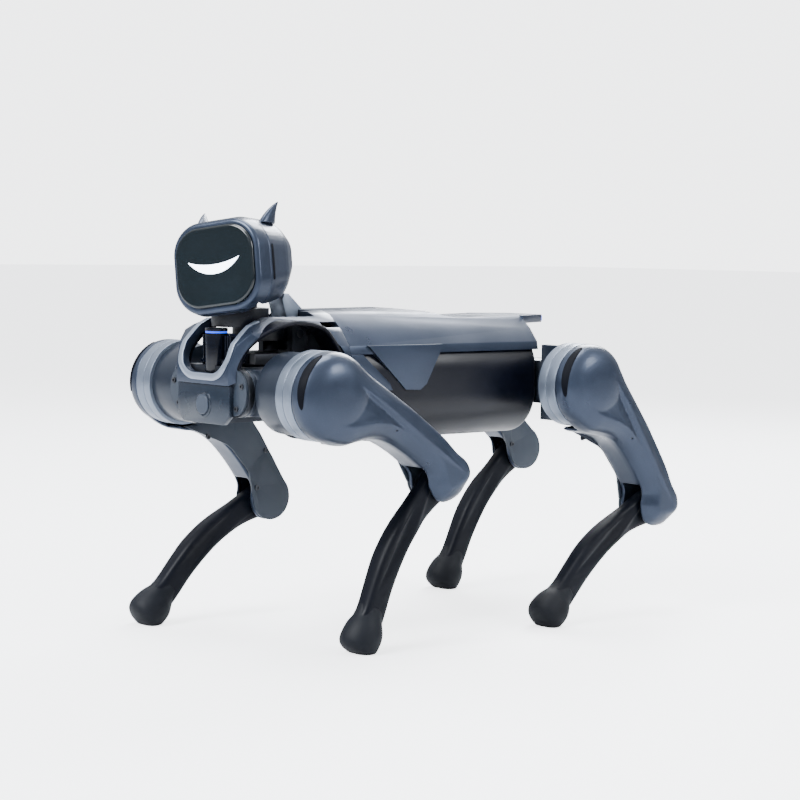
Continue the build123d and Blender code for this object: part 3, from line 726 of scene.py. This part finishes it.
def make_head_slot_shade(side):
    """A dark upright sheet of painted shade for a slot behind the face frame, flush with the head's side."""
    rings = []
    for z, half in ((-21, 0.6), (-20, 1.8), (-17, 2.6), (0, 3.0), (17, 2.6), (20, 1.8), (21, 0.6)):
        rings.append([Vector((27 + dx * half, side * dy, z)) * MM
                      for dx, dy in ((-1, 60.8), (1, 60.8), (1, 62.0), (-1, 61.9))])
    slot = mesh_object("slot", skin(rings))
    step = slot.modifiers.new("bevel", "BEVEL")
    step.width = 0.25 * MM
    step.segments = 2
    return settled(slot, "slot")


# ---------------------------------------------------------------- arch lining
def along(table, x):
    """Straight-line reading of a table of (x, y), held at its last value."""
    for (x0, y0), (x1, y1) in zip(table, table[1:]):
        if x <= x1:
            return y0 + (y1 - y0) * (x - x0) / (x1 - x0)
    return table[-1][1]


def make_lining():
    """The gloss lining under the arch, on each side, between the cowl and the hip."""
    points = [Vector(p) for p in ARCH]
    curve = []
    for i in range(len(points) - 1):
        p0, p1 = points[max(i - 1, 0)], points[i]
        p2, p3 = points[i + 1], points[min(i + 2, len(points) - 1)]
        curve += [between(p0, p1, p2, p3, j / 8) for j in range(8)]
    for side, tag in ((1, "l"), (-1, "r")):
        rings = []
        for a, b in zip(curve, curve[1:]):
            way = (b - a).normalized()
            down = Vector((way.y, -way.x))
            outer = along(ARCH_HALF, a.x)
            ring = []
            for y, d in ((LINING_IN, 0.3), (outer - 1.5, 0.3), (outer - 0.3, 1.6),
                         (outer - 0.3, LINING - 1.6), (outer - 1.6, LINING), (LINING_IN, LINING)):
                q = a + down * d
                ring.append(Vector((q.x + OFFSET_X, side * y, q.y)) * MM)
            rings.append(ring)
        lining = mesh_object("arch_lining_" + tag, skin(rings))
        dress(lining, "barrel_gloss", "torso", None, 28)


# ---------------------------------------------------------------- round the sensor
def make_rim():
    """The U-shaped frame round the sensor in light grey-blue: partly its own colour, partly painted light for its
    bevel that faces up and forward.
    """
    path = [(Vector((NOTCH_HALF, z)), Vector((1, 0))) for z in (382, 376, 370, 363, 356, 350)]
    middle = Vector((NOTCH_HALF - NOTCH_CORNER, NOTCH_BOTTOM + NOTCH_CORNER))
    section = ((0.3, -1), (0.3, 0.6), (1.2, 1), (RIM_WIDTH - 0.9, 1), (RIM_WIDTH, 0.6), (RIM_WIDTH, -1))
    for i in range(13):
        t = math.pi / 2 * i / 12
        out = Vector((math.cos(t), -math.sin(t)))
        path.append((middle + out * NOTCH_CORNER, out))
    path += [(Vector((-q.x, q.y)), Vector((-n.x, n.y))) for q, n in reversed(path)]
    rings = []
    for q, n in path:
        ring = []
        for across, up in section:
            y, z = q + n * across
            lean = smoothstep(330, 360, z)
            lift = up * RIM_THICK
            x = along(FRONT_LINE, z) + lift * (1 - 0.4 * lean)
            ring.append(Vector((x + OFFSET_X, y, z + lift * 0.6 * lean)) * MM)
        rings.append(ring)
    rim = mesh_object("sensor_frame", skin(rings))
    # The light finish is partly the frame's colour and partly painted light on the up- and forward-facing bevel.
    dress(rim, "guard_light", "torso", None, 40)


def make_sensor_cap():
    """A dark cap over the sensor's light, which leaves a thin lit strip below it."""
    outline = [(0, 369.2), (SENSOR_R, 369.2), (SENSOR_R, SENSOR_TOP - 0.7), (SENSOR_R - 0.7, SENSOR_TOP),
               (0, SENSOR_TOP)]
    cap = mesh_object("sensor_cap", lathe_y(outline))
    upright = Matrix.Rotation(math.pi / 2, 4, "X")
    cap.data.transform(Matrix.Translation(((SENSOR_X + OFFSET_X) * MM, 0, 0)) @ upright)
    dress(cap, "sensor_gloss", "torso")


# ---------------------------------------------------------------- carried-over CAD shapes
BEVELS = {"top_cover": 1.6, "front_cowl": 1.4, "face_bezel": 1.0, "chest_cover": 1.0, "barrel_shell": 0.8,
          "neck_guard": 1.6, "neck_arm": 1.0, "sensor_housing": 0.6, "chassis_frame": 0.6}
BEVEL_LEGS = 0.7


def refined(node, width, finish):
    """The node's own shape with its facets merged and its edges softly bevelled."""
    bm = bmesh.new()
    bm.from_mesh(frame["nodes"][node].data)
    bmesh.ops.remove_doubles(bm, verts=bm.verts, dist=0.02 * MM)
    bmesh.ops.dissolve_limit(bm, angle_limit=math.radians(1.2), verts=bm.verts, edges=bm.edges)
    obj = mesh_object(node + "_form", bm)
    step = obj.modifiers.new("bevel", "BEVEL")
    step.width = width * MM
    step.segments = 3
    step.limit_method = "ANGLE"
    step.angle_limit = math.radians(24)
    step.use_clamp_overlap = True
    step.harden_normals = False
    obj = settled(obj, node + "_form")
    return dress(obj, finish, BODY_OF[node], node, 30)


def carry_over():
    """The rest of the CAD nodes, either with softened edges or as they are."""
    for node, slot in SLOT_OF.items():
        if node.startswith(("thigh_shell", "calf_", "foot_", "head_shell")):
            continue
        if node in BEVELS:
            refined(node, BEVELS[node], slot)
        elif node.startswith(("hip_housing", "hip_motor", "thigh_cover")):
            refined(node, BEVEL_LEGS, slot)
        else:
            data = frame["nodes"][node].data
            data.materials.clear()
            data.materials.append(FINISH[slot])


# ---------------------------------------------------------------- stage
def make_sky():
    """A studio that is bright overhead and darker at eye level, against a plain pale backdrop."""
    world = bpy.data.worlds.new("studio_sky")
    world.use_nodes = True
    tree = world.node_tree
    shown = tree.nodes["Background"]
    shown.inputs["Color"].default_value = (*SKY_WHITE, 1.0)
    shown.inputs["Strength"].default_value = SKY_SEEN
    lit = tree.nodes.new("ShaderNodeBackground")
    lit.inputs["Strength"].default_value = SKY_LIGHT
    up = tree.nodes.new("ShaderNodeSeparateXYZ")
    tree.links.new(tree.nodes.new("ShaderNodeTexCoord").outputs["Generated"], up.inputs["Vector"])
    ramp = tree.nodes.new("ShaderNodeValToRGB")
    ramp.color_ramp.elements[0].position = 0.0
    ramp.color_ramp.elements[0].color = (*SKY_LOW, 1.0)
    ramp.color_ramp.elements[1].position = 0.75
    ramp.color_ramp.elements[1].color = (*SKY_WHITE, 1.0)
    tree.links.new(up.outputs["Z"], ramp.inputs["Fac"])
    tree.links.new(ramp.outputs["Color"], lit.inputs["Color"])
    choice = tree.nodes.new("ShaderNodeMixShader")
    tree.links.new(tree.nodes.new("ShaderNodeLightPath").outputs["Is Camera Ray"], choice.inputs["Fac"])
    tree.links.new(lit.outputs["Background"], choice.inputs[1])
    tree.links.new(shown.outputs["Background"], choice.inputs[2])
    tree.links.new(choice.outputs["Shader"], tree.nodes["World Output"].inputs["Surface"])
    bpy.context.scene.world = world


def make_stage():
    """Floor, sky and four soft lights."""
    bm = bmesh.new()
    bmesh.ops.create_grid(bm, x_segments=2, y_segments=2, size=FLOOR_SIZE)
    floor = mesh_object("floor", bm)
    floor.data.materials.append(floor_finish())
    make_sky()
    for name, place, size, power in LIGHTS:
        data = bpy.data.lights.new(name, "AREA")
        data.shape = "SQUARE"
        data.size = size
        data.energy = power
        data.color = LIGHT_TINT
        light = bpy.data.objects.new(name, data)
        light.location = place
        aim = LIGHT_AIM - Vector(place)
        light.rotation_euler = aim.to_track_quat("-Z", "Y").to_euler()
        bpy.context.scene.collection.objects.link(light)


make_camera()
make_stage()
make_legs()
make_head()
make_lining()
make_rim()
make_sensor_cap()
carry_over()
